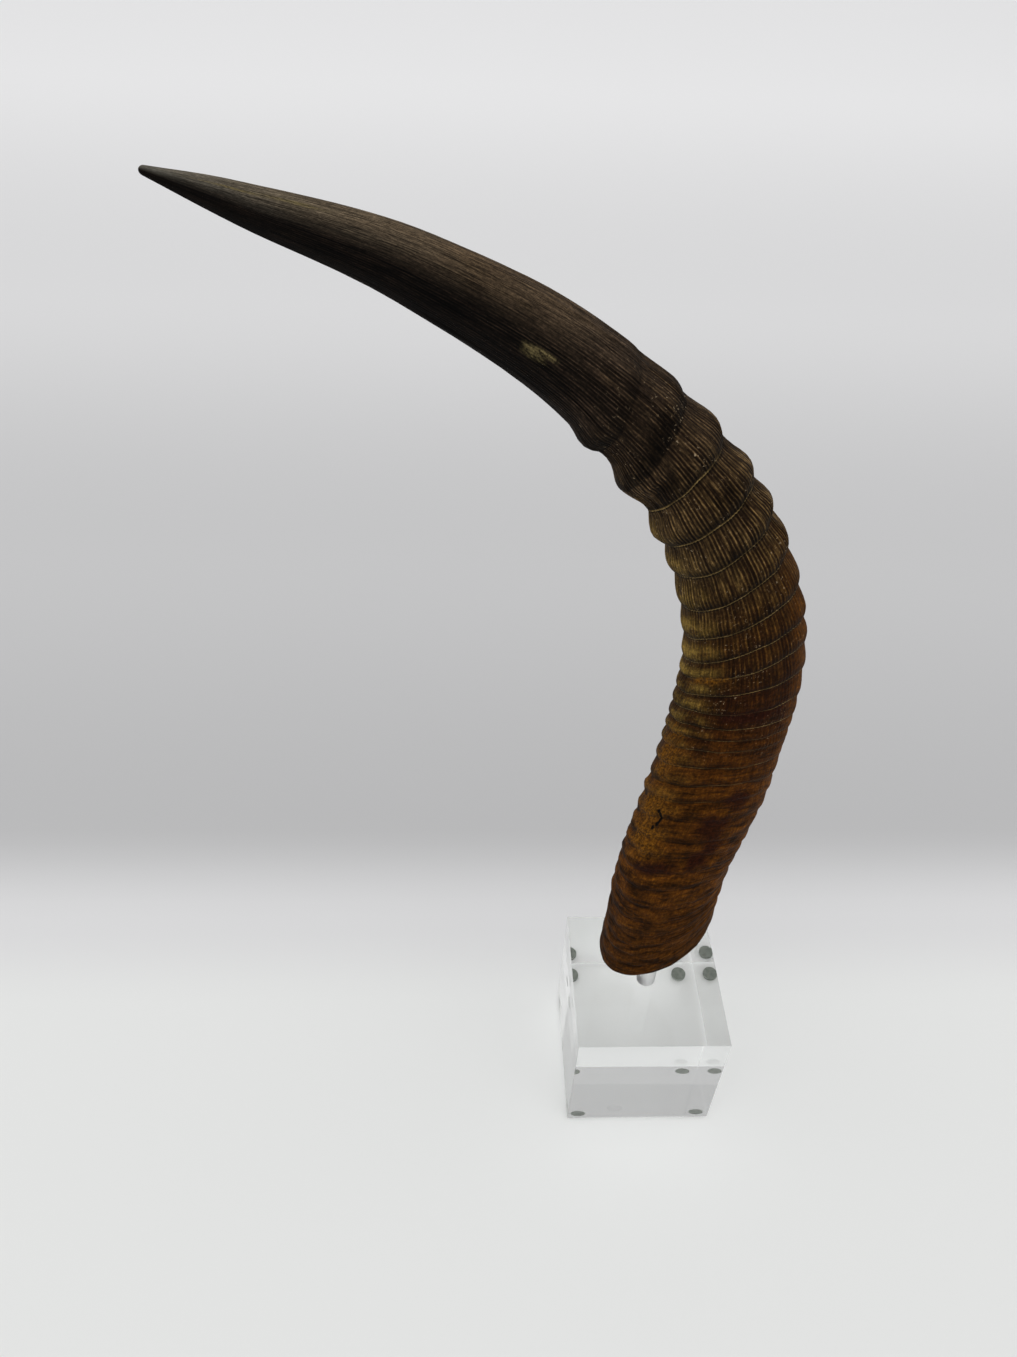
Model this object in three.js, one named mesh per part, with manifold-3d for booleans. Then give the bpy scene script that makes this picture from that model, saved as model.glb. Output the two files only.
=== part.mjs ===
// An antelope horn on a clear acrylic block: the ringed horn is cut across its root, drilled, and
// held up by a clear rod that stands on the middle of the block. Four round bumpers lift the block.
// Millimetres, +Z up, +X away from the way the tip points, -Y the front.
import * as THREE from "three";
import { mergeVertices } from "three/addons/utils/BufferGeometryUtils.js";
import Module from "manifold-3d";

// Stand
const blockSide = 76.2; // a three-inch cube
const footDiameter = 8;
const footHeight = 2.2;
const footRounding = 1.2; // the rounded lower edge of a moulded bumper
const footSides = 28;
const footArcSteps = 4;
const feet = [
  { name: "foot_front_left", side: -1, end: -1, fromSide: 5.9, fromEnd: 6.5 },
  { name: "foot_front_right", side: 1, end: -1, fromSide: 5.6, fromEnd: 7 },
  { name: "foot_back_left", side: -1, end: 1, fromSide: 5.1, fromEnd: 7 },
  { name: "foot_back_right", side: 1, end: 1, fromSide: 9.2, fromEnd: 7 },
];
const rodDiameter = 9.5;
const rodSides = 32;
const rodIntoHorn = 18; // how far the drilled hole goes past the middle of the cut face
const glueGap = 0.3; // round the rod in its hole

// Horn axis: points along it from the root to the tip, measured from the middle of the block's top,
// each with the horn's mean radius there
const hornStations = [
  { x: -0.7, y: 1.2, z: 44.7, radius: 25 },
  { x: 1.4, y: 3, z: 93.8, radius: 24.4 },
  { x: 11.1, y: 7, z: 159.1, radius: 24.3 },
  { x: 10.8, y: 9, z: 223.7, radius: 22.8 },
  { x: -13, y: 8, z: 281.6, radius: 19.1 },
  { x: -58.5, y: 4, z: 330.8, radius: 15 },
  { x: -109.7, y: -3, z: 363.7, radius: 10.5 },
  { x: -154.1, y: -7.7, z: 381.1, radius: 5.4 },
  { x: -178.7, y: -10.2, z: 389.9, radius: 1.05 },
];
const hornDepthShare = 0.93; // the section is a little flatter from front to back than across
const tipRounding = 1.1;

// The growth rings: how far up the axis each crease is, and how deep the knob above it stands out
const creases = [
  7, 13.5, 20, 27, 34.6, 43, 52, 60, 68, 75.7, 86, 96.5, 107, 117.5, 127.4, 133.9, 140.5, 148.9,
  159.4, 169.5, 180.4, 194.9, 212, 227.8, 242.1, 260.2, 277.7, 296.2,
];
const rootKnob = 0.5;
const topKnob = 2.3;
const knobSink = 0.55; // how much of a knob's height its creases go in
const knobGrowsFrom = 105; // up the axis, where the low wrinkles turn to knobs
const knobFullAt = 210;

// Each ring lies on a slant: its rise per millimetre of radius on the outside of the bend, and at the front
const slants = [
  { at: 0, outside: 0.8, front: -0.12 },
  { at: 40, outside: 0.42, front: 0.02 },
  { at: 90, outside: 0.27, front: 0.64 },
  { at: 135, outside: 0.15, front: 0.5 },
  { at: 175, outside: 0.31, front: 0.45 },
  { at: 215, outside: 0.29, front: 0.13 },
  { at: 255, outside: 0.17, front: 0.22 },
  { at: 296, outside: 0.46, front: 0.11 },
  { at: 400, outside: 0, front: 0 },
  { at: 600, outside: 0, front: 0 },
];
const hornSides = 28;
const ringRows = [0.28, 0.62]; // between two creases, as shares of the way up
const smoothRows = 12; // above the last ring
const tipRow = 0.3; // how far below the tip the last row is
const axisDivisions = 800;

const wasm = await Module();
wasm.setup();

// A closed three.js geometry as a solid that can be cut
function toSolid(geometry) {
  const bare = geometry.clone();
  bare.deleteAttribute("normal");
  bare.deleteAttribute("uv");
  const merged = mergeVertices(bare, 1e-3);
  return new wasm.Manifold(
    new wasm.Mesh({
      numProp: 3,
      vertProperties: merged.attributes.position.array,
      triVerts: new Uint32Array(merged.index.array),
    }),
  );
}

function toGeometry(solid) {
  const mesh = solid.getMesh();
  const geometry = new THREE.BufferGeometry();
  geometry.setAttribute("position", new THREE.BufferAttribute(mesh.vertProperties, 3));
  geometry.setIndex(new THREE.BufferAttribute(mesh.triVerts, 1));
  return geometry;
}

// The value at a place on a row of stations, straight from one to the next
function alongStations(stations, place, key) {
  const next = Math.max(1, stations.findIndex((station) => station.at >= place));
  const before = stations[next - 1];
  const after = stations[next];
  return THREE.MathUtils.mapLinear(place, before.at, after.at, before[key], after[key]);
}

const hornAxis = new THREE.CatmullRomCurve3(
  hornStations.map(({ x, y, z }) => new THREE.Vector3(x, y, z)),
  false,
  "catmullrom",
);
hornAxis.arcLengthDivisions = axisDivisions;
const hornLength = hornAxis.getLength();
const radiusCurve = new THREE.CatmullRomCurve3(
  hornStations.map(({ radius }) => new THREE.Vector3(radius, 0, 0)),
  false,
  "catmullrom",
);

// The mean radius at a distance along the axis, with a rounded end at the tip
function hornRadius(distance) {
  const along = THREE.MathUtils.clamp(distance / hornLength, 0, 1);
  const radius = radiusCurve.getPoint(hornAxis.getUtoTmapping(along)).x;
  const beforeTip = hornLength - distance;
  if (beforeTip >= tipRounding) {
    return radius;
  }
  const round = 1 - beforeTip / tipRounding;
  return radius * Math.sqrt(Math.max(0, 1 - round * round));
}

// A point of the horn's surface: turn is 0 on the outside of the bend and a quarter turn at the front
function hornPoint(distance, turn, radius) {
  const along = THREE.MathUtils.clamp(distance / hornLength, 0, 1);
  const below = Math.min(distance, 0);
  const centre = hornAxis.getPointAt(along);
  const tangent = hornAxis.getTangentAt(along);
  const outside = new THREE.Vector3(0, 1, 0).cross(tangent).normalize();
  const front = outside.clone().cross(tangent).normalize();
  return centre
    .addScaledVector(tangent, below)
    .addScaledVector(outside, Math.cos(turn) * radius)
    .addScaledVector(front, Math.sin(turn) * radius * hornDepthShare);
}

// How far a knob stands out part of the way from one crease to the next
function knobHeight(height, share) {
  const grown = THREE.MathUtils.smoothstep(height, knobGrowsFrom, knobFullAt);
  return THREE.MathUtils.lerp(rootKnob, topKnob, grown) * (Math.sin(Math.PI * share) - knobSink);
}

// The rows of the horn from the root up: where each is on the axis, and how far it stands out
function hornRows() {
  const rows = [{ height: 0, knob: 0 }];
  const edges = [0, ...creases];
  edges.slice(1).forEach((crease, index) => {
    const start = edges[index];
    for (const share of ringRows) {
      const height = THREE.MathUtils.lerp(start, crease, share);
      rows.push({ height, knob: knobHeight(height, share) });
    }
    rows.push({ height: crease, knob: knobHeight(crease, 0) });
  });
  const lastCrease = creases[creases.length - 1];
  for (let row = 1; row < smoothRows; row++) {
    const share = row / smoothRows;
    rows.push({ height: THREE.MathUtils.lerp(lastCrease, hornLength, share), knob: 0 });
  }
  rows.push({ height: hornLength - tipRow, knob: 0 });
  return rows;
}

// The horn is turned straight on the lathe, then each of its points is set on its slant round the bent axis
function makeHorn() {
  const rows = hornRows();
  const profile = [new THREE.Vector2(0, 0)];
  rows.forEach(({ height }) => profile.push(new THREE.Vector2(1, height)));
  profile.push(new THREE.Vector2(0, hornLength));
  const geometry = new THREE.LatheGeometry(profile, hornSides);
  const places = geometry.attributes.position;
  for (let index = 0; index < places.count; index++) {
    const row = index % profile.length;
    const turn = (-2 * Math.PI * Math.floor(index / profile.length)) / hornSides;
    let point;
    if (row === 0) {
      point = hornPoint(0, 0, 0);
    } else if (row === profile.length - 1) {
      point = hornPoint(hornLength, 0, 0);
    } else {
      const { height, knob } = rows[row - 1];
      const mean = hornRadius(height);
      const outside = alongStations(slants, height, "outside");
      const front = alongStations(slants, height, "front");
      const rise = mean * (outside * Math.cos(turn) + front * Math.sin(turn));
      const distance = height + rise;
      point = hornPoint(distance, turn, hornRadius(Math.max(distance, 0)) + knob);
    }
    places.setXYZ(index, point.x, point.y, point.z);
  }
  return geometry;
}

function rodGeometry(radius, bottom, top) {
  return new THREE.CylinderGeometry(radius, radius, top - bottom, rodSides)
    .rotateX(Math.PI / 2)
    .translate(0, 0, (top + bottom) / 2);
}

// A round bumper, flat above and rounded at its lower edge
function footGeometry() {
  const radius = footDiameter / 2;
  const profile = [new THREE.Vector2(0, 0), new THREE.Vector2(radius - footRounding, 0)];
  for (let step = 1; step <= footArcSteps; step++) {
    const turn = (step / footArcSteps) * (Math.PI / 2);
    const out = radius - footRounding + footRounding * Math.sin(turn);
    profile.push(new THREE.Vector2(out, footRounding * (1 - Math.cos(turn))));
  }
  profile.push(new THREE.Vector2(radius, footHeight), new THREE.Vector2(0, footHeight));
  return new THREE.LatheGeometry(profile, footSides).rotateX(Math.PI / 2);
}

function addPiece(parent, name, geometry, material) {
  const piece = new THREE.Mesh(geometry, material);
  piece.name = name;
  parent.add(piece);
  return piece;
}

const hornMaterial = new THREE.MeshStandardMaterial({ color: "#4a3420", roughness: 0.6, metalness: 0 });
const acrylicMaterial = new THREE.MeshStandardMaterial({
  color: "#e8eeec",
  roughness: 0.05,
  metalness: 0,
  transparent: true,
  opacity: 0.3,
});
const rodMaterial = acrylicMaterial.clone();
const bumperMaterial = new THREE.MeshStandardMaterial({ color: "#7d8480", roughness: 0.7, metalness: 0 });

const group = new THREE.Group();
const stand = new THREE.Group();
group.add(stand);
const blockTop = footHeight + blockSide;

const block = new THREE.BoxGeometry(blockSide, blockSide, blockSide);
addPiece(stand, "acrylic_block", block, acrylicMaterial).position.z = footHeight + blockSide / 2;
for (const { name, side, end, fromSide, fromEnd } of feet) {
  const foot = addPiece(stand, name, footGeometry(), bumperMaterial);
  foot.position.set(side * (blockSide / 2 - fromSide), end * (blockSide / 2 - fromEnd), 0);
}

const onBlock = new THREE.Group();
onBlock.position.z = blockTop;
group.add(onBlock);
const rodTop = hornStations[0].z + rodIntoHorn;
addPiece(onBlock, "mounting_rod", rodGeometry(rodDiameter / 2, 0, rodTop), rodMaterial);
const hole = rodGeometry(rodDiameter / 2 + glueGap, -blockSide / 2, rodTop + glueGap);
const horn = toSolid(makeHorn()).subtract(toSolid(hole));
addPiece(onBlock, "horn", toGeometry(horn), hornMaterial);

// The part's origin is the middle of the floor under it
const bounds = new THREE.Box3().setFromObject(group);
const middle = bounds.getCenter(new THREE.Vector3());
group.position.set(-middle.x, -middle.y, -bounds.min.z);

export default group;
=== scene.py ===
import itertools
import math

import bpy
import numpy as np
from mathutils import Matrix, Vector


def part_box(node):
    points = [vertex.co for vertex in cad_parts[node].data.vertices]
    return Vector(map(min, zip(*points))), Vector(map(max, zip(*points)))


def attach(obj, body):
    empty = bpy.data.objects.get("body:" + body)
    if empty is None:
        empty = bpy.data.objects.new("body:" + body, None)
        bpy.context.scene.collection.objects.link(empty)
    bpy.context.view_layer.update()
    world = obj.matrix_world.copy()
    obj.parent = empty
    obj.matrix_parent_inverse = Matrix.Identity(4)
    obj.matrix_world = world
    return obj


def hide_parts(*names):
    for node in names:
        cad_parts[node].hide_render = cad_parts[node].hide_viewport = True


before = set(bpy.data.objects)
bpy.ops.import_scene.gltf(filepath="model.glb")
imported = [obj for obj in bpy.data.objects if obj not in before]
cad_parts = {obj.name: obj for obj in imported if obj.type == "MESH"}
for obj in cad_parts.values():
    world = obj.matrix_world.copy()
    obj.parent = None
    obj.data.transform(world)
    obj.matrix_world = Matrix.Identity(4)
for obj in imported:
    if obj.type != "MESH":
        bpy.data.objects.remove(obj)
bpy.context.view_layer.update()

mm = 0.001  # metres in a millimetre; sizes below are in mm unless a note says otherwise

blockLow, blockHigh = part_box("acrylic_block")
blockSide = blockHigh.x - blockLow.x
onBlock = Vector(((blockLow.x + blockHigh.x) / 2, (blockLow.y + blockHigh.y) / 2, blockHigh.z))
rodLow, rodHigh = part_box("mounting_rod")
rodRadius = (rodHigh.x - rodLow.x) / 2
print("frame: block side", round(blockSide / mm, 1), "mm, rod", round(2 * rodRadius / mm, 1), "mm")


def toLinear(hexText):
    # sRGB hex to the linear colour that the shaders work in
    parts = [int(hexText[i : i + 2], 16) / 255 for i in (1, 3, 5)]
    return [p / 12.92 if p <= 0.04045 else ((p + 0.055) / 1.055) ** 2.4 for p in parts] + [1.0]


def newMaterial(name):
    material = bpy.data.materials.new(name)
    material.use_nodes = True
    return material, material.node_tree, material.node_tree.nodes["Principled BSDF"]


def addNode(tree, kind, settings=None, values=None, links=None):
    # settings are the node's own, values go on its inputs, links join other outputs to its inputs
    node = tree.nodes.new(kind)
    for key, value in (settings or {}).items():
        setattr(node, key, value)
    for key, value in (values or {}).items():
        node.inputs[key].default_value = value
    for key, output in (links or {}).items():
        tree.links.new(output, node.inputs[key])
    return node


def finishPiece(piece, node, material):
    piece.name = piece.data.name = node
    piece.data.materials.clear()
    piece.data.materials.append(material)
    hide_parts(node)
    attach(piece, "root")


def startPiece():
    # nothing stays selected, so an operator acts only on what is added next
    if bpy.context.object and bpy.context.object.mode != "OBJECT":
        bpy.ops.object.mode_set(mode="OBJECT")
    bpy.ops.object.select_all(action="DESELECT")


# The camera: its place from the middle of the block's top, and its turn
cameraSetup = {
    "place": (-96.6, -288.7, 468.7),
    "down": 41.87,  # degrees below level
    "toRight": 3.5,
    "roll": 2.71,
    "focal": 27.04,  # mm on a 36 mm long side
}


def makeCamera():
    data = bpy.data.cameras.new("camera")
    data.sensor_fit = "AUTO"
    data.sensor_width = 36
    data.lens = cameraSetup["focal"]
    data.clip_start = 0.01
    data.clip_end = 50
    camera = bpy.data.objects.new("camera", data)
    bpy.context.collection.objects.link(camera)
    turn = (
        Matrix.Rotation(math.radians(-cameraSetup["toRight"]), 4, "Z")
        @ Matrix.Rotation(math.radians(90 - cameraSetup["down"]), 4, "X")
        @ Matrix.Rotation(math.radians(cameraSetup["roll"]), 4, "Z")
    )
    camera.matrix_world = Matrix.Translation(onBlock + Vector(cameraSetup["place"]) * mm) @ turn
    bpy.context.scene.camera = camera


makeCamera()
print("camera placed")

# The horn
hornShape = {
    # x, y, z of points on its axis, from the middle of the block's top, and its mean radius there
    "stations": [
        (-0.7, 1.2, 44.7, 25.0),
        (1.4, 3, 93.8, 24.4),
        (11.1, 7, 159.1, 24.3),
        (10.8, 9, 223.7, 22.8),
        (-13, 8, 281.6, 19.1),
        (-58.5, 4, 330.8, 15.0),
        (-109.7, -3, 363.7, 10.5),
        (-154.1, -7.7, 381.1, 5.4),
        (-178.7, -10.2, 389.9, 1.05),
    ],
    "depthShare": 0.93,  # front to back, as a share of across
    "tipRounding": 1.1,
    # how far up the axis each crease between two rings is
    "lowCreases": [7, 13.5, 20, 27, 34.6, 43, 52, 60, 68, 75.7, 86, 96.5, 107],
    "highCreases": [
        117.5, 127.4, 133.9, 140.5, 148.9, 159.4, 169.5, 180.4,
        194.9, 212, 227.8, 242.1, 260.2, 277.7, 296.2,
    ],
    # up the axis, then a ring's rise per mm of radius on the outside of the bend and at the front
    "slants": [
        (0, 0.8, -0.12),
        (40, 0.42, 0.02),
        (90, 0.27, 0.64),
        (135, 0.15, 0.5),
        (175, 0.31, 0.45),
        (215, 0.29, 0.13),
        (255, 0.17, 0.22),
        (296, 0.46, 0.11),
        (400, 0, 0),
    ],
    # up the axis, then the height of a ring's knob inside the bend and outside it, and its share
    # at the front
    "knobs": [
        (0, 0.3, 0.25, 0.62),
        (30, 0.6, 0.3, 0.62),
        (60, 0.9, 0.35, 0.62),
        (95, 1.3, 0.5, 0.62),
        (105, 1.5, 0.4, 0.62),
        (120, 1.2, 0.3, 0.62),
        (150, 1.1, 0.45, 0.62),
        (165, 1.0, 0.9, 0.62),
        (188, 1.0, 1.3, 0.62),
        (203, 1.1, 1.7, 0.62),
        (220, 1.3, 2.2, 0.62),
        (235, 1.8, 2.5, 0.62),
        (251, 3.0, 2.3, 0.62),
        (269, 3.3, 2.0, 0.5),
        (287, 3.9, 0.8, 0.22),
        (297, 2.0, 0.5, 0.3),
        (310, 0, 0, 0.3),
    ],
    # up the axis, then the height of the fine wrinkles round it and of the strands along it
    "grain": [
        (0, 0.38, 0.03),
        (60, 0.42, 0.05),
        (105, 0.35, 0.08),
        (135, 0.16, 0.14),
        (180, 0.1, 0.22),
        (240, 0.07, 0.26),
        (300, 0.05, 0.24),
        (350, 0.03, 0.17),
        (400, 0.02, 0.09),
        (450, 0, 0.02),
    ],
    "mergedCrease": 277.7,  # this one fades out inside the bend, where its two rings make one knob
    # where a knob stands out most, as a share of the way up from its lower crease, and how hollow it is
    # below and above that; then the same for the knob of two rings
    "knobForm": (0.32, 0.8, 1.8),
    "mergedForm": (0.5, 2.6, 4),
    # inside the bend above the last ring: how far up, half its length, its height
    "lastBump": (302, 5, 1.1),
    "strands": 90,  # the fibres that run the length of the horn
    "sawnEdge": 0.4,  # the small bevel round the sawn root
    "holeGap": 0.3,  # round the rod
    "knobSink": 0.42,  # how much of a knob's height its creases go in
    "wobbleEnds": (60, 12),  # the rings' unevenness fades out this far from the tip and the root
    "reliefEnd": 8,  # all relief fades out this far from the tip
    "crackReach": 0.55,  # half the width of a crack
    "patternSpan": (450, 50),  # the colours' scale up the axis and across the bend
}
lowShares = [0, 0.07, 0.2, 0.35, 0.52, 0.7, 0.86]
highShares = [0, 0.04, 0.1, 0.18, 0.28, 0.4, 0.55, 0.72, 0.88]
smoothRows = 36
columnsPerStrand = 4

# Marks on the skin: degrees round the horn from the outside of the bend, mm up the axis, and then
# half the size across and along in mm
hornMarks = {
    "cracks": [
        [(150, 90.5), (145.5, 88.5), (144, 86), (145, 83.5), (149, 81)],
        [(-60, 80), (-75, 84), (-92, 83)],
    ],
    "stains": [
        (92, 147, 11, 2.6),
        (78, 98, 5, 5),
        (89, 84, 6, 4.5),
        (84, 73, 3, 4),
        (92, 66, 4, 4),
        (131, 62, 9, 3),
        (-70, 120, 9, 5),
        (-110, 70, 8, 5),
        (20, 60, 7, 5),
    ],
    "dents": [(76, 283, 10, 4.5), (104, 268, 9, 3), (-95, 285, 9, 4), (60, 250, 7, 2.5)],
    "crusts": [
        (160, 92, 9, 9),
        (154, 74, 8, 8),
        (165, 122, 7, 12),
        (137, 169, 8, 2),
        (-150, 95, 9, 9),
    ],
    "smears": [
        (92, 335, 2.8, 3.8),
        (86, 330, 1.6, 2),
        (-40, 360, 2, 4),
        (36, 424, 1.4, 7),
        (30, 407, 1.6, 6),
    ],
}


def splineThrough(points, samples):
    points = np.asarray(points, float)
    ends = np.vstack([2 * points[0] - points[1], points, 2 * points[-1] - points[-2]])
    place = np.linspace(0, len(points) - 1, samples)
    first = np.minimum(place.astype(int), len(points) - 2)
    t = (place - first)[:, None]
    a, b, c, d = (ends[first + k] for k in range(4))
    square = (2 * a - 5 * b + 4 * c - d) * t**2
    cube = (3 * b - a - 3 * c + d) * t**3
    return (2 * b + (c - a) * t + square + cube) / 2


def softNoise(points, size, seed):
    # smooth random values from -1 to 1 whose lumps are about size mm
    table = np.random.default_rng(seed).uniform(-1, 1, (32, 32, 32))
    spot = points / np.asarray(size, float)
    cell = np.floor(spot).astype(int)
    part = spot - cell
    part = part * part * (3 - 2 * part)
    total = np.zeros(points.shape[:-1])
    for corner in itertools.product((0, 1), repeat=3):
        weight = np.prod(np.where(corner, part, 1 - part), axis=-1)
        index = (cell + corner) % 32
        total += weight * table[index[..., 0], index[..., 1], index[..., 2]]
    return total


class HornAxis:
    # the bent line that the horn grows along, in mm from the middle of the block's top
    def __init__(self, stations):
        line = splineThrough(stations, 1600)
        self.points = line[:, :3]
        self.radii = line[:, 3]
        steps = np.linalg.norm(np.diff(self.points, axis=0), axis=1)
        self.along = np.concatenate([[0], np.cumsum(steps)])
        self.length = self.along[-1]
        tangents = np.gradient(self.points, axis=0)
        self.tangents = tangents / np.linalg.norm(tangents, axis=1)[:, None]

    def at(self, distance):
        # centre, outside of the bend, front
        tangent = np.stack([np.interp(distance, self.along, self.tangents[:, k]) for k in range(3)], -1)
        tangent /= np.linalg.norm(tangent, axis=-1)[..., None]
        centre = np.stack([np.interp(distance, self.along, self.points[:, k]) for k in range(3)], -1)
        centre += tangent * np.minimum(distance, 0)[..., None]
        outside = np.cross((0.0, 1.0, 0.0), tangent)
        outside /= np.linalg.norm(outside, axis=-1)[..., None]
        return centre, outside, np.cross(outside, tangent)

    def radius(self, distance):
        mean = np.interp(distance, self.along, self.radii)
        rounded = 1 - np.clip((self.length - distance) / hornShape["tipRounding"], 0, 1)
        return mean * np.sqrt(1 - rounded**2)


def hornRows(length):
    # each row of the skin: its height up the axis, and its share of the way up its ring
    heights, shares = [], []
    edges = [0] + hornShape["lowCreases"] + hornShape["highCreases"]
    for low, high in zip(edges, edges[1:]):
        for share in lowShares if high <= hornShape["lowCreases"][-1] else highShares:
            heights.append(low + (high - low) * share)
            shares.append(share)
    top = edges[-1]
    rounding = hornShape["tipRounding"]
    for step in range(smoothRows):
        heights.append(top + (length - rounding - top) * (step / smoothRows) ** 1.2)
        shares.append(min(step * 0.1, 0.32))
    for step in range(5):
        heights.append(length - rounding * (1 - math.sin(step / 5 * math.pi / 2)))
        shares.append(0.32)
    return np.array(heights), np.array(shares)


def tableValue(heights, table, column):
    table = np.asarray(table, float)
    return np.interp(heights, table[:, 0], table[:, column])


def nearLines(arc, height, lines, perDegree):
    # how near each point is to any of the lines: 1 on it, 0 from about a millimetre away
    best = np.zeros(arc.shape)
    for line in lines:
        for (turnA, heightA), (turnB, heightB) in zip(line, line[1:]):
            start = np.array([turnA * perDegree, heightA])
            step = np.array([turnB * perDegree, heightB]) - start
            along = (arc - start[0]) * step[0] + (height - start[1]) * step[1]
            t = np.clip(along / (step @ step), 0, 1)
            away = np.hypot(arc - start[0] - t * step[0], height - start[1] - t * step[1])
            best = np.maximum(best, np.exp(-((away / hornShape["crackReach"]) ** 2)))
    return best


def nearSpots(arc, height, spots, perDegree, ragged):
    best = np.zeros(arc.shape)
    for turn, up, across, along in spots:
        away = np.hypot((arc - turn * perDegree) / across, (height - up) / along)
        best = np.maximum(best, np.clip(1.6 - away - 0.55 * ragged, 0, 1))
    return best


def knobProfile(share, form):
    crest, hollowBelow, hollowAbove = form
    below = np.sin(math.pi / 2 * np.clip(share / crest, 0, 1)) ** hollowBelow
    above = np.cos(math.pi / 2 * np.clip((share - crest) / (1 - crest), 0, 1)) ** hollowAbove
    return np.where(share < crest, below, above)


def hornSkin(axis, columns):
    heights, shares = hornRows(axis.length)
    height = heights[:, None]
    share = shares[:, None]
    turn = np.linspace(0, 2 * math.pi, columns + 1)[None, :] + 0 * height
    meanRadius = hornShape["stations"][0][3]
    # a straight copy of the horn, which the noise and the material's pattern lie on
    straight = np.stack([meanRadius * np.cos(turn), meanRadius * np.sin(turn), height + 0 * turn], -1)
    # the strands wander a little on their way up
    turn = turn + 0.02 * softNoise(straight, (30, 30, 26), 9)
    turn = turn + 0.008 * softNoise(straight, (8, 8, 9), 10)
    tipEnd, rootEnd = hornShape["wobbleEnds"]
    fade = np.clip((axis.length - height) / tipEnd, 0, 1) * np.clip(height / rootEnd, 0, 1)
    wobble = fade * (1.1 * softNoise(straight, 21, 1) + 0.55 * softNoise(straight, 8, 2))
    outsideness = np.cos(turn)
    slant = tableValue(height, hornShape["slants"], 1) * outsideness
    slant = slant + tableValue(height, hornShape["slants"], 2) * np.sin(turn)
    distance = height + axis.radius(height) * slant + wobble
    # the knobs: highest at the sides, flatter at the front and back, and no two alike
    inside, outer = (tableValue(height, hornShape["knobs"], k) for k in (1, 2))
    knob = inside * (1 - outsideness) / 2 + outer * (1 + outsideness) / 2
    atFront = tableValue(height, hornShape["knobs"], 3)
    knob = knob * (atFront + (1 - atFront) * np.abs(outsideness))
    knob = knob * (1 + 0.3 * softNoise(straight, (9, 9, 14), 3))
    kept = sorted(set(hornShape["lowCreases"] + hornShape["highCreases"]) - {hornShape["mergedCrease"]})
    edges = np.array([0] + kept)
    ring = np.clip(np.searchsorted(edges, heights + 1e-6) - 1, 0, len(edges) - 2)
    mergedShare = np.clip((heights - edges[ring]) / (edges[ring + 1] - edges[ring]), 0, 1)
    mergedShare = np.where(heights < edges[-1], mergedShare, shares)[:, None]
    isMerged = (edges[ring] < hornShape["mergedCrease"]) & (edges[ring + 1] > hornShape["mergedCrease"])
    isMerged = (isMerged & (heights < edges[-1]))[:, None]
    insideOnly = np.clip(0.3 - outsideness * 1.3, 0, 1)
    plain = knobProfile(share, hornShape["knobForm"])
    merged = knobProfile(mergedShare, hornShape["mergedForm"])
    wave = plain * (1 - insideOnly) + np.where(isMerged, merged, plain) * insideOnly
    lift = knob * (wave - hornShape["knobSink"])
    bumpAt, bumpLength, bumpHeight = hornShape["lastBump"]
    lift = lift + bumpHeight * insideOnly * np.exp(-(((height - bumpAt) / bumpLength) ** 2))
    # wrinkles between the rings, strands along the horn, and slow unevenness
    wrinkle, strand = (tableValue(height, hornShape["grain"], k) for k in (1, 2))
    lift = lift + wrinkle * softNoise(straight, (8, 8, 3.4), 4)
    lift = lift + 0.7 * wrinkle * softNoise(straight, (4, 4, 2.6), 5)
    number = np.arange(columns + 1) % columnsPerStrand
    groove = np.array([0, 0.55, 1, 0.55])[number][None, :]
    which = (np.arange(columns + 1) // columnsPerStrand) % hornShape["strands"]
    deep = np.random.default_rng(6).uniform(0.7, 1.35, hornShape["strands"])[which][None, :]
    worn = np.clip(0.85 + 0.6 * softNoise(straight, (3, 3, 11), 7), 0.2, 1.35)
    lift = lift - strand * groove * deep * worn
    lift = lift + fade * 0.3 * softNoise(straight, 30, 8)
    degree = np.degrees(turn)
    degree = np.where(degree > 180, degree - 360, degree)
    perDegree = math.radians(1) * meanRadius
    arc = degree * perDegree
    level = height + 0 * turn
    ragged = softNoise(straight, (3, 3, 2.5), 11)
    crack = nearLines(arc, level, hornMarks["cracks"], perDegree)
    crust = nearSpots(arc, level, hornMarks["crusts"], perDegree, ragged)
    dent = nearSpots(arc, level, hornMarks["dents"], perDegree, 0.5 * ragged)
    lift = lift - 0.45 * crack - 0.9 * dent + 0.4 * crust * softNoise(straight, (2.6, 2.6, 2.6), 12)
    skin = axis.radius(np.clip(distance, 0, axis.length))
    skin = skin + lift * np.clip((axis.length - height) / hornShape["reliefEnd"], 0, 1)
    centre, outside, front = axis.at(distance)
    across = outside * (np.cos(turn) * skin)[..., None]
    across += front * (np.sin(turn) * skin * hornShape["depthShare"])[..., None]
    marks = {
        "crest": wave,
        "dent": dent,
        "climb": share + 0 * turn,
        "groove": np.clip(groove * deep * worn, 0, 1),
        "knob": np.clip(knob / 2.5, 0, 1),
        "crack": crack,
        "crust": crust,
        "stain": nearSpots(arc, level, hornMarks["stains"], perDegree, ragged),
        "smear": nearSpots(arc, level, hornMarks["smears"], perDegree, ragged),
    }
    return centre + across, straight, marks


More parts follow.
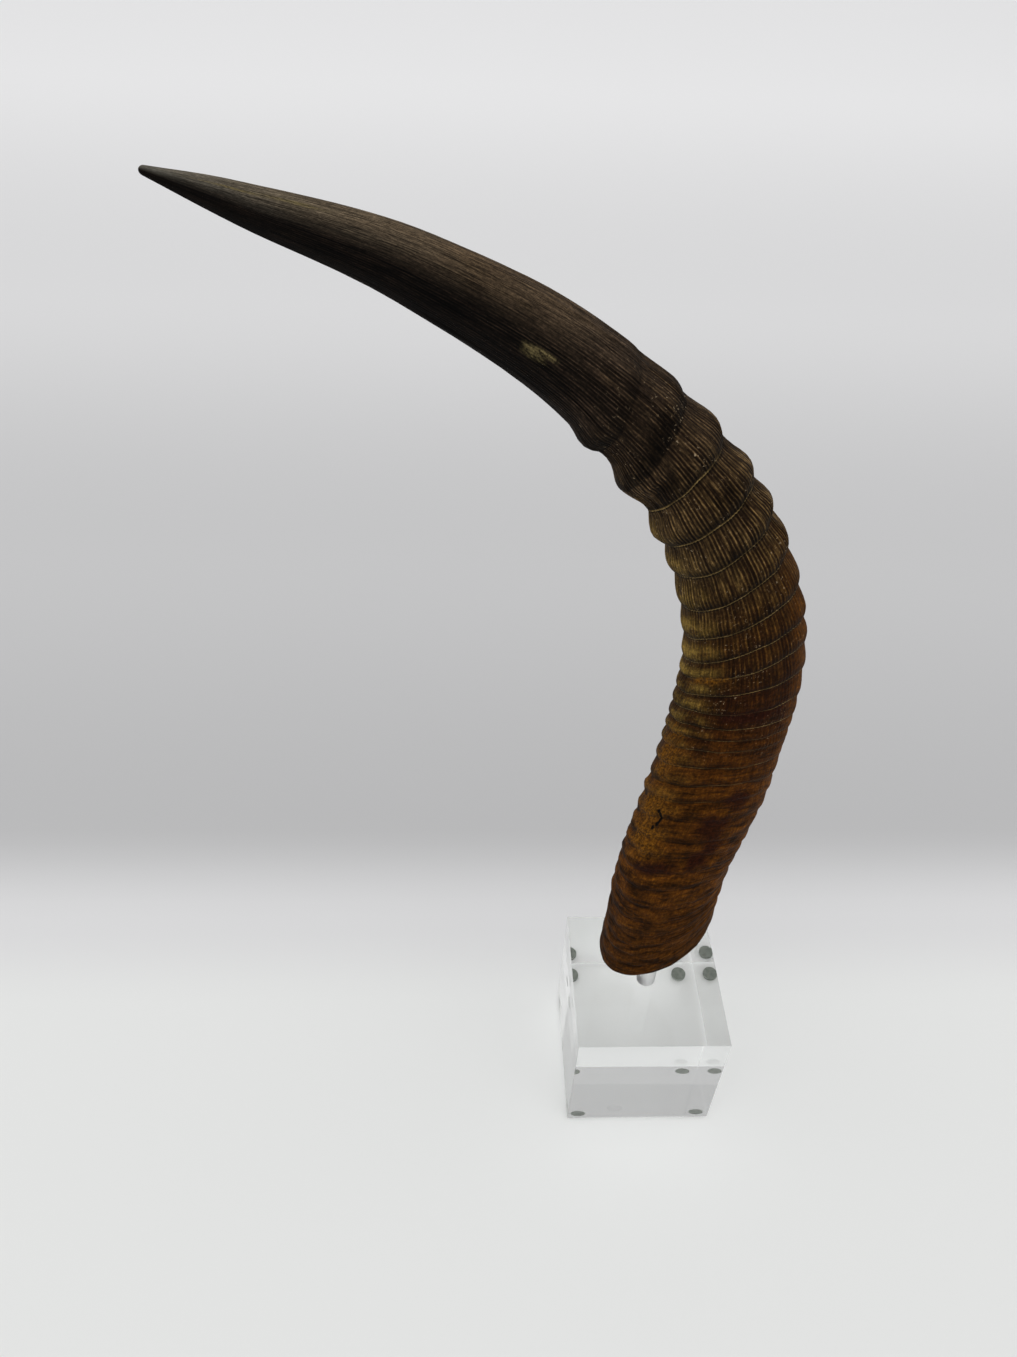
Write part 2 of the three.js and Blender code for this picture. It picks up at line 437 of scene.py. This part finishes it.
def hornRoot(rim):
    # the rod's hole and the sawn face, from the hole's end outwards, up to the rim
    turn = np.linspace(0, 2 * math.pi, len(rim))
    holeRadius = rodRadius / mm + hornShape["holeGap"]
    holeTop = (rodHigh.z - onBlock.z) / mm + hornShape["holeGap"]
    circle = np.stack([holeRadius * np.cos(turn), -holeRadius * np.sin(turn), 0 * turn], -1)
    middle = rim[:-1].mean(0)
    normal = np.cross(rim[0] - middle, rim[len(rim) // 4] - middle)
    onFace = circle.copy()
    onFace[:, 2] = middle[2] - ((circle - middle)[:, :2] @ normal[:2]) / normal[2]
    rows = [circle * 0 + (0, 0, holeTop), circle + (0, 0, holeTop)]
    for share in (0, 0.33, 0.66, 0.97):
        rows.append(onFace + (rim - onFace) * share)
    return np.array(rows)


def makeHorn():
    axis = HornAxis(hornShape["stations"])
    columns = hornShape["strands"] * columnsPerStrand
    skin, straight, marks = hornSkin(axis, columns)
    rim = skin[0].copy()
    root = hornRoot(rim)
    inward = rim.mean(0) - rim
    skin[0] += inward / np.linalg.norm(inward, axis=1)[:, None] * hornShape["sawnEdge"]
    rows = np.concatenate([root, skin, skin[-1:] * 0 + axis.points[-1]])
    count = len(rows)
    below = len(root)

    startPiece()
    bpy.ops.mesh.primitive_grid_add(x_subdivisions=columns, y_subdivisions=count - 1, size=1)
    horn = bpy.context.object
    mesh = horn.data
    flat = np.zeros(len(mesh.vertices) * 3)
    mesh.vertices.foreach_get("co", flat)
    flat = flat.reshape(-1, 3)
    column = np.rint((flat[:, 0] + 0.5) * columns).astype(int)
    row = np.rint((flat[:, 1] + 0.5) * (count - 1)).astype(int)
    places = np.array(onBlock) + rows[row, column] * mm
    mesh.vertices.foreach_set("co", places.astype(np.float32).ravel())

    inSkin = np.clip(row - below, 0, len(skin) - 1)
    straightMark = mesh.attributes.new("straight", "FLOAT_VECTOR", "POINT")
    straightMark.data.foreach_set("vector", straight[inSkin, column].astype(np.float32).ravel())
    for name, values in marks.items():
        mark = mesh.attributes.new(name, "FLOAT", "POINT")
        mark.data.foreach_set("value", values[inSkin, column].astype(np.float32))
    sawn = mesh.attributes.new("sawn", "FLOAT", "POINT")
    sawn.data.foreach_set("value", (row < below).astype(np.float32))

    bpy.ops.object.mode_set(mode="EDIT")
    bpy.ops.mesh.select_all(action="SELECT")
    bpy.ops.mesh.remove_doubles(threshold=1e-6)
    bpy.ops.mesh.normals_make_consistent(inside=False)
    bpy.ops.object.mode_set(mode="OBJECT")
    bpy.ops.object.shade_smooth_by_angle(angle=math.radians(50))
    print("horn:", len(mesh.polygons), "faces, axis", round(axis.length), "mm")
    return horn


def keratinMaterial():
    # Horn is keratin, grown in fibres and dried: satin where it is worn smooth, duller in its creases
    material, tree, skin = newMaterial("driedHornKeratin")

    def mark(name, output="Fac"):
        return addNode(tree, "ShaderNodeAttribute", {"attribute_name": name}).outputs[output]

    straight = mark("straight", "Vector")
    place = addNode(tree, "ShaderNodeSeparateXYZ", links={"Vector": straight})
    crest, climb, groove, knob = mark("crest"), mark("climb"), mark("groove"), mark("knob")
    crack, crust, stain, smear = mark("crack"), mark("crust"), mark("stain"), mark("smear")
    dent, sawn = mark("dent"), mark("sawn")

    def lumps(size, detail=3.0, roughness=0.55):
        # noise on the straight copy, with lumps of that many mm
        mapping = addNode(
            tree,
            "ShaderNodeMapping",
            values={"Scale": [1 / s for s in size]},
            links={"Vector": straight},
        )
        noise = addNode(
            tree,
            "ShaderNodeTexNoise",
            values={"Scale": 1.0, "Detail": detail, "Roughness": roughness},
            links={"Vector": mapping.outputs["Vector"]},
        )
        return noise.outputs["Fac"]

    def ramp(fac, stops):
        node = addNode(tree, "ShaderNodeValToRGB", links={"Fac": fac})
        elements = node.color_ramp.elements
        while len(elements) < len(stops):
            elements.new(0.5)
        for element, (position, colour) in zip(elements, stops):
            element.position = position
            element.color = toLinear(colour) if isinstance(colour, str) else [colour] * 3 + [1]
        return node.outputs["Color"]

    def joined(node, inputs):
        for index, value in inputs:
            if isinstance(value, bpy.types.NodeSocket):
                tree.links.new(value, node.inputs[index])
            else:
                node.inputs[index].default_value = value
        return node

    def mix(kind, fac, first, second):
        node = addNode(tree, "ShaderNodeMix", {"data_type": "RGBA", "blend_type": kind})
        return joined(node, ((0, fac), (6, first), (7, second))).outputs[2]

    def sums(operation, *values):
        clamped = operation != "MULTIPLY_ADD"
        node = addNode(tree, "ShaderNodeMath", {"operation": operation, "use_clamp": clamped})
        return joined(node, enumerate(values)).outputs[0]

    def product(first, second):
        return sums("MULTIPLY", first, second)

    # how far up, from 0 to 1, with a slow unevenness so that no colour ends on a line
    blotch = lumps((30, 30, 30))
    upSpan, bendSpan = hornShape["patternSpan"]
    uneven = sums("MULTIPLY_ADD", blotch, 0.12, -0.06)
    up = sums("MULTIPLY_ADD", place.outputs["Z"], 1 / upSpan, uneven)
    body = ramp(
        up,
        [
            (0.0, "#3b2005"),
            (0.13, "#462606"),
            (0.25, "#442406"),
            (0.33, "#261005"),
            (0.42, "#281607"),
            (0.52, "#21150b"),
            (0.62, "#1b120b"),
            (0.7, "#120d09"),
            (0.78, "#090706"),
            (1.0, "#070606"),
        ],
    )
    # the colour of the painted highlight on the strand ridges, up the horn
    ridgeHighlightColour = ramp(
        up,
        [
            (0.0, "#5e3a0e"),
            (0.2, "#70460f"),
            (0.34, "#5f3a10"),
            (0.44, "#745324"),
            (0.5, "#a5844e"),
            (0.6, "#937650"),
            (0.67, "#5a4838"),
            (0.8, "#33271e"),
        ],
    )
    streak = lumps((1.2, 1.2, 9), detail=4, roughness=0.6)
    fibre = lumps((0.7, 0.7, 12), detail=3, roughness=0.7)
    pore = lumps((1.3, 1.3, 1.3), detail=4, roughness=0.7)
    wrinkles = lumps((9, 9, 2.0), detail=3, roughness=0.6)
    patch = lumps((11, 11, 7), detail=4, roughness=0.6)

    # painted highlight: each strand's ridge is painted paler, as the light it catches, strongest on the
    # crests of the rings
    paintedRidgeHighlight = mix(
        "MIX",
        ramp(up, [(0.3, 1.0), (0.4, 0.0)]),
        ramp(groove, [(0.0, 1.0), (0.3, 0.4), (0.75, 0.0)]),
        (0.35, 0.35, 0.35, 1),
    )
    paintedRidgeHighlight = product(paintedRidgeHighlight, ramp(crest, [(0.0, 0.45), (0.9, 1.0)]))
    paintedRidgeHighlight = product(paintedRidgeHighlight, ramp(streak, [(0.36, 0.05), (0.62, 1.0)]))
    broken = lumps((0.9, 0.9, 3.2), detail=2)
    paintedRidgeHighlight = product(paintedRidgeHighlight, ramp(broken, [(0.36, 0.35), (0.6, 1.0)]))
    colour = mix("MIX", paintedRidgeHighlight, body, ridgeHighlightColour)

    # golden on the thin sides of the rings, inside the bend most: partly the horn's own tone, partly
    # painted rim light where the light passes them
    insideBend = sums("MULTIPLY_ADD", place.outputs["X"], -1 / bendSpan, 0.5)
    goldenToneAndRimLight = product(
        ramp(insideBend, [(0.72, 0.0), (0.96, 1.0)]),
        ramp(up, [(0.12, 0.0), (0.28, 0.25), (0.4, 0.85), (0.5, 0.5), (0.6, 0.0)]),
    )
    goldenToneAndRimLight = product(goldenToneAndRimLight, ramp(patch, [(0.38, 0.2), (0.56, 1.0)]))
    goldenToneAndRimLight = product(goldenToneAndRimLight, ramp(streak, [(0.34, 0.45), (0.6, 1.0)]))
    goldenToneAndRimLight = product(goldenToneAndRimLight, ramp(crest, [(0.2, 0.15), (0.9, 1.0)]))
    colour = mix("MIX", goldenToneAndRimLight, colour, toLinear("#967a38"))
    # orange on the outside of the bend over the rings: partly the horn's own tone, partly painted rim
    # light on that edge
    outsideToneAndRimLight = product(
        ramp(insideBend, [(0.02, 1.0), (0.2, 0.0)]),
        ramp(up, [(0.2, 0.45), (0.33, 0.7), (0.42, 0.3), (0.5, 0.0)]),
    )
    colour = mix("MIX", outsideToneAndRimLight, colour, toLinear("#704208"))
    # painted sheen: the smooth end is painted grey on the outside of the bend, its upper side, as the
    # sheen it catches from above
    paintedSheen = product(
        ramp(insideBend, [(0.02, 1.0), (0.14, 0.6), (0.26, 0.2), (0.42, 0.0)]),
        ramp(up, [(0.59, 0.0), (0.72, 0.8), (0.9, 1.0)]),
    )
    paintedSheen = product(paintedSheen, ramp(fibre, [(0.35, 0.3), (0.6, 1.0)]))
    # the grey of the painted sheen, paler towards the tip
    worn = ramp(up, [(0.65, "#4a3d31"), (0.8, "#66543f"), (0.92, "#6f6453"), (1.0, "#7a766c")])
    colour = mix("MIX", paintedSheen, colour, worn)
    # and painted shade, near black, inside the bend, on its underside
    paintedUnderShade = product(
        ramp(insideBend, [(0.3, 0.0), (0.55, 1.0)]),
        ramp(up, [(0.64, 0.0), (0.74, 0.8), (0.9, 0.4)]),
    )
    colour = mix("MULTIPLY", paintedUnderShade, colour, (0.3, 0.31, 0.33, 1))

    # painted shade in the hollow just above each crease, deeper where the knobs are high, and a painted
    # highlight line right along the crease
    hollow = ramp(climb, [(0.0, 0.35), (0.12, 0.3), (0.32, 0.7), (0.5, 1.0), (0.9, 0.95), (1.0, 0.8)])
    colour = mix("MULTIPLY", ramp(knob, [(0.08, 0.25), (0.4, 1.0)]), colour, hollow)
    creaseHighlightLine = product(ramp(climb, [(0.0, 1.0), (0.05, 0.0)]), ramp(patch, [(0.34, 0.35), (0.54, 1.0)]))
    creaseHighlightLine = product(creaseHighlightLine, ramp(up, [(0.2, 0.0), (0.3, 0.8), (0.57, 0.8), (0.6, 0.0)]))
    colour = mix("MIX", creaseHighlightLine, colour, toLinear("#947c4e"))

    # the low end: short dark wrinkles, dark red-brown stains, tan crusts and cracks
    lowEnd = ramp(up, [(0.16, 1.0), (0.34, 0.6), (0.42, 0.0)])
    wrinkleTone = ramp(wrinkles, [(0.36, 0.25), (0.5, 0.9), (0.64, 1.5)])
    colour = mix("MULTIPLY", product(lowEnd, 0.9), colour, wrinkleTone)
    patchTone = ramp(patch, [(0.34, 0.45), (0.52, 1.0), (0.68, 1.3)])
    colour = mix("MULTIPLY", product(lowEnd, 0.7), colour, patchTone)
    colour = mix("MIX", product(stain, 0.85), colour, toLinear("#250d06"))
    crusty = product(crust, ramp(pore, [(0.4, 0.25), (0.6, 0.85)]))
    colour = mix("MIX", crusty, colour, toLinear("#6c4510"))
    smeared = product(smear, ramp(pore, [(0.36, 0.15), (0.52, 0.85)]))
    colour = mix("MIX", smeared, colour, toLinear("#6c6040"))
    # fine light and dark of the fibres and pores
    fibreTone = ramp(fibre, [(0.32, 0.4), (0.5, 0.95), (0.7, 1.6)])
    colour = mix("MULTIPLY", ramp(up, [(0.25, 0.3), (0.42, 0.8)]), colour, fibreTone)
    colour = mix("MULTIPLY", 0.75, colour, ramp(pore, [(0.34, 0.4), (0.5, 0.95), (0.68, 1.9)]))

    # pale flakes in the grooves of the high rings
    inPatches = ramp(lumps((14, 14, 9)), [(0.46, 0.0), (0.58, 0.9)])
    flake = product(ramp(pore, [(0.63, 0.0), (0.67, 1.0)]), inPatches)
    flake = product(flake, ramp(up, [(0.25, 0.0), (0.34, 0.8), (0.64, 0.9), (0.7, 0.0)]))
    colour = mix("MIX", flake, colour, toLinear("#a08e72"))
    colour = mix("MULTIPLY", product(dent, 0.9), colour, (0.22, 0.2, 0.18, 1))
    colour = mix("MIX", ramp(crack, [(0.12, 0.0), (0.5, 1.0)]), colour, toLinear("#0b0705"))
    sawnTone = mix("MULTIPLY", 0.6, toLinear("#5d4630"), ramp(pore, [(0.35, 0.5), (0.65, 1.1)]))
    colour = mix("MIX", sawn, colour, sawnTone)
    tree.links.new(colour, skin.inputs["Base Color"])

    smooth = ramp(up, [(0.2, 0.65), (0.5, 0.58), (0.75, 0.5)])
    dullness = sums("ADD", smooth, sums("MULTIPLY_ADD", pore, 0.3, -0.15))
    tree.links.new(dullness, skin.inputs["Roughness"])
    skin.inputs["IOR"].default_value = 1.54
    skin.inputs["Specular IOR Level"].default_value = 0.03

    fibrous = addNode(
        tree,
        "ShaderNodeBump",
        values={"Strength": 0.45, "Distance": 0.25 * mm},
        links={"Height": fibre},
    )
    wrinkled = addNode(
        tree,
        "ShaderNodeBump",
        values={"Distance": 0.9 * mm},
        links={"Height": wrinkles, "Strength": lowEnd, "Normal": fibrous.outputs["Normal"]},
    )
    pitted = addNode(
        tree,
        "ShaderNodeBump",
        values={"Strength": 0.4, "Distance": 0.35 * mm},
        links={"Height": pore, "Normal": wrinkled.outputs["Normal"]},
    )
    tree.links.new(pitted.outputs["Normal"], skin.inputs["Normal"])
    return material


horn = makeHorn()
finishPiece(horn, "horn", keratinMaterial())

# The stand
standShape = {
    "blockBevel": 0.1,
    "rodSides": 96,
    "footSides": 48,
    "glueSink": 0.05,  # a foot's glued top or the rod's foot, into the block
    "tint": "#dfe8e4",
    "tintDensity": 1.2,  # per metre
    "rodRoughness": 0.35,  # the rod is only sawn and sanded
}


def clearAcrylic(name, roughness):
    # Cast acrylic: clear right through, faintly grey-green in its depth
    material, tree, skin = newMaterial(name)
    skin.inputs["Base Color"].default_value = (1, 1, 1, 1)
    skin.inputs["Transmission Weight"].default_value = 1
    skin.inputs["Roughness"].default_value = roughness
    skin.inputs["IOR"].default_value = 1.49
    depth = addNode(tree, "ShaderNodeVolumeAbsorption")
    depth.inputs["Color"].default_value = toLinear(standShape["tint"])
    depth.inputs["Density"].default_value = standShape["tintDensity"]
    tree.links.new(depth.outputs["Volume"], tree.nodes["Material Output"].inputs["Volume"])
    return material


def makeBlock():
    startPiece()
    bpy.ops.mesh.primitive_cube_add(size=1, location=(blockLow + blockHigh) / 2)
    block = bpy.context.object
    block.scale = blockHigh - blockLow
    bpy.ops.object.transform_apply(location=True, rotation=True, scale=True)
    bpy.ops.object.mode_set(mode="EDIT")
    bpy.ops.mesh.select_all(action="SELECT")
    bpy.ops.mesh.bevel(offset=standShape["blockBevel"] * mm, segments=3, profile=0.5)
    bpy.ops.object.mode_set(mode="OBJECT")
    return block


def makeRod():
    startPiece()
    foot = rodLow.z - standShape["glueSink"] * mm
    length = rodHigh.z - foot
    bpy.ops.mesh.primitive_cylinder_add(
        vertices=standShape["rodSides"],
        radius=rodRadius,
        depth=length,
        location=(onBlock.x, onBlock.y, foot + length / 2),
    )
    rod = bpy.context.object
    bpy.ops.object.transform_apply(location=True, rotation=True, scale=True)
    bpy.ops.object.shade_smooth_by_angle(angle=math.radians(30))
    return rod


def urethaneMaterial():
    # Moulded urethane bumper: grey-green, soft and slightly cloudy
    material, tree, skin = newMaterial("mouldedUrethane")
    place = addNode(tree, "ShaderNodeTexCoord").outputs["Object"]
    noise = addNode(
        tree,
        "ShaderNodeTexNoise",
        values={"Scale": 1 / (1.5 * mm), "Detail": 3.0},
        links={"Vector": place},
    )
    tone = addNode(tree, "ShaderNodeValToRGB", links={"Fac": noise.outputs["Fac"]})
    tone.color_ramp.elements[0].position = 0.3
    tone.color_ramp.elements[0].color = toLinear("#6b726a")
    tone.color_ramp.elements[1].position = 0.7
    tone.color_ramp.elements[1].color = toLinear("#8a9086")
    tree.links.new(tone.outputs["Color"], skin.inputs["Base Color"])
    skin.inputs["Roughness"].default_value = 0.55
    skin.inputs["IOR"].default_value = 1.5
    return material


def makeFoot(node, material):
    low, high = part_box(node)
    middle = (low + high) / 2
    height = high.z - low.z
    startPiece()
    bpy.ops.mesh.primitive_cylinder_add(
        vertices=standShape["footSides"], radius=(high.x - low.x) / 2, depth=height, location=middle
    )
    foot = bpy.context.object
    bpy.ops.object.transform_apply(location=True, rotation=True, scale=True)
    bpy.ops.object.mode_set(mode="EDIT")
    bpy.ops.mesh.select_all(action="DESELECT")
    bpy.ops.mesh.select_mode(type="EDGE")
    bpy.ops.object.mode_set(mode="OBJECT")
    for edge in foot.data.edges:
        edge.select = all(foot.data.vertices[v].co.z < low.z + height * 0.1 for v in edge.vertices)
    bpy.ops.object.mode_set(mode="EDIT")
    bpy.ops.mesh.bevel(offset=0.5 * height, segments=6, profile=0.5)
    bpy.ops.object.mode_set(mode="OBJECT")
    bpy.ops.object.shade_smooth_by_angle(angle=math.radians(40))
    for vertex in foot.data.vertices:
        if vertex.co.z > high.z - 0.1 * mm:
            vertex.co.z += standShape["glueSink"] * mm
    return foot


polished = clearAcrylic("polishedAcrylicBlock", 0.0)
finishPiece(makeBlock(), "acrylic_block", polished)
satin = clearAcrylic("satinAcrylicRod", standShape["rodRoughness"])
finishPiece(makeRod(), "mounting_rod", satin)
urethane = urethaneMaterial()
for footNode in ("foot_front_left", "foot_front_right", "foot_back_left", "foot_back_right"):
    finishPiece(makeFoot(footNode, urethane), footNode, urethane)
print("stand done")

# The floor and the lights
studio = {
    "floorRadius": 12.0,  # metres
    "floorDepth": 3.0,  # metres behind the block, past which its tone stays the same
    # metres behind the block, and the floor's colour there: painted light and shade, palest by the
    # block, a painted shade band some way behind, paler again far off
    "paintedFloorLight": [
        (0.03, "#e9eae9"),
        (0.09, "#dfdfe0"),
        (0.17, "#bfbfc0"),
        (0.5, "#cacacb"),
        (1.1, "#e0e0e1"),
        (2.4, "#f3f3f4"),
    ],
    "strength": 0.77,
}


def makeFloor():
    startPiece()
    bpy.ops.mesh.primitive_circle_add(
        vertices=96, radius=studio["floorRadius"], fill_type="NGON", location=(onBlock.x, onBlock.y, 0)
    )
    floor = bpy.context.object
    floor.name = "floor"
    bpy.ops.object.transform_apply(location=True, rotation=True, scale=True)
    # Matte paper, with painted light falloff: palest by the block, greyer with painted shade some way
    # behind it
    material, tree, skin = newMaterial("mattePaper")
    place = addNode(tree, "ShaderNodeTexCoord").outputs["Object"]
    parts = addNode(tree, "ShaderNodeSeparateXYZ", links={"Vector": place})
    depth = addNode(
        tree,
        "ShaderNodeMapRange",
        values={"From Min": onBlock.y, "From Max": onBlock.y + studio["floorDepth"]},
        links={"Value": parts.outputs["Y"]},
    )
    tone = addNode(tree, "ShaderNodeValToRGB", links={"Fac": depth.outputs["Result"]})
    tone.color_ramp.interpolation = "EASE"
    elements = tone.color_ramp.elements
    while len(elements) < len(studio["paintedFloorLight"]):
        elements.new(0.5)
    for element, (metres, colour) in zip(elements, studio["paintedFloorLight"]):
        element.position = metres / studio["floorDepth"]
        element.color = toLinear(colour)
    tree.links.new(tone.outputs["Color"], skin.inputs["Base Color"])
    skin.inputs["Roughness"].default_value = 0.85
    skin.inputs["Specular IOR Level"].default_value = 0.2
    floor.data.materials.append(material)


def makeWorld():
    # a pale room without lamps of its own
    world = bpy.data.worlds.new("studio")
    bpy.context.scene.world = world
    world.use_nodes = True
    tree = world.node_tree
    direction = addNode(tree, "ShaderNodeTexCoord").outputs["Generated"]
    parts = addNode(tree, "ShaderNodeSeparateXYZ", links={"Vector": direction})

    def rise(value, low, high, floorValue, topValue):
        node = addNode(
            tree,
            "ShaderNodeMapRange",
            {"interpolation_type": "SMOOTHSTEP"},
            {"From Min": low, "From Max": high, "To Min": floorValue, "To Max": topValue},
            {"Value": parts.outputs[value]},
        )
        return node.outputs["Result"]

    def times(first, second):
        node = addNode(tree, "ShaderNodeMath", {"operation": "MULTIPLY"})
        tree.links.new(first, node.inputs[0])
        tree.links.new(second, node.inputs[1])
        return node.outputs[0]

    # bright high in front, dim low in front and high up behind
    lowFront = rise("Y", -0.8, 0.0, 0.45, 1.0)
    highFront = times(rise("Y", -0.5, 0.0, 1.0, 0.0), rise("Z", 0.2, 0.6, 0.0, 1.0))
    highBehind = times(rise("Y", 0.1, 0.4, 0.0, 1.0), rise("Z", 0.6, 0.85, 0.0, 0.44))
    dimmed = addNode(tree, "ShaderNodeMath", {"operation": "SUBTRACT"})
    dimmed.inputs[0].default_value = 1.0
    tree.links.new(highBehind, dimmed.inputs[1])
    total = addNode(tree, "ShaderNodeMath", {"operation": "ADD"})
    tree.links.new(times(lowFront, dimmed.outputs[0]), total.inputs[0])
    tree.links.new(highFront, total.inputs[1])
    strength = addNode(tree, "ShaderNodeMath", {"operation": "MULTIPLY"})
    tree.links.new(total.outputs[0], strength.inputs[0])
    strength.inputs[1].default_value = studio["strength"]
    tree.links.new(strength.outputs[0], tree.nodes["Background"].inputs["Strength"])
    tree.nodes["Background"].inputs["Color"].default_value = (1, 1, 1, 1)


def softBox(name, place, aim, size, power):
    data = bpy.data.lights.new(name, "AREA")
    data.shape = "RECTANGLE"
    data.size, data.size_y = size
    data.energy = power
    light = bpy.data.objects.new(name, data)
    light.location = onBlock + Vector(place)
    light.rotation_euler = (Vector(aim) - Vector(place)).to_track_quat("-Z", "Y").to_euler()
    bpy.context.collection.objects.link(light)


makeFloor()
makeWorld()
softBox("left", (-1.2, -0.3, 3.0), (0, 0, 0.1), (2.2, 2.0), 9)
softBox("right", (1.2, -0.3, 3.0), (0, 0, 0.1), (2.2, 2.0), 7)
bpy.context.scene.view_settings.view_transform = "Standard"
bpy.context.scene.cycles.blur_glossy = 0.0  # light goes through the clear pieces unblurred
print("studio done")
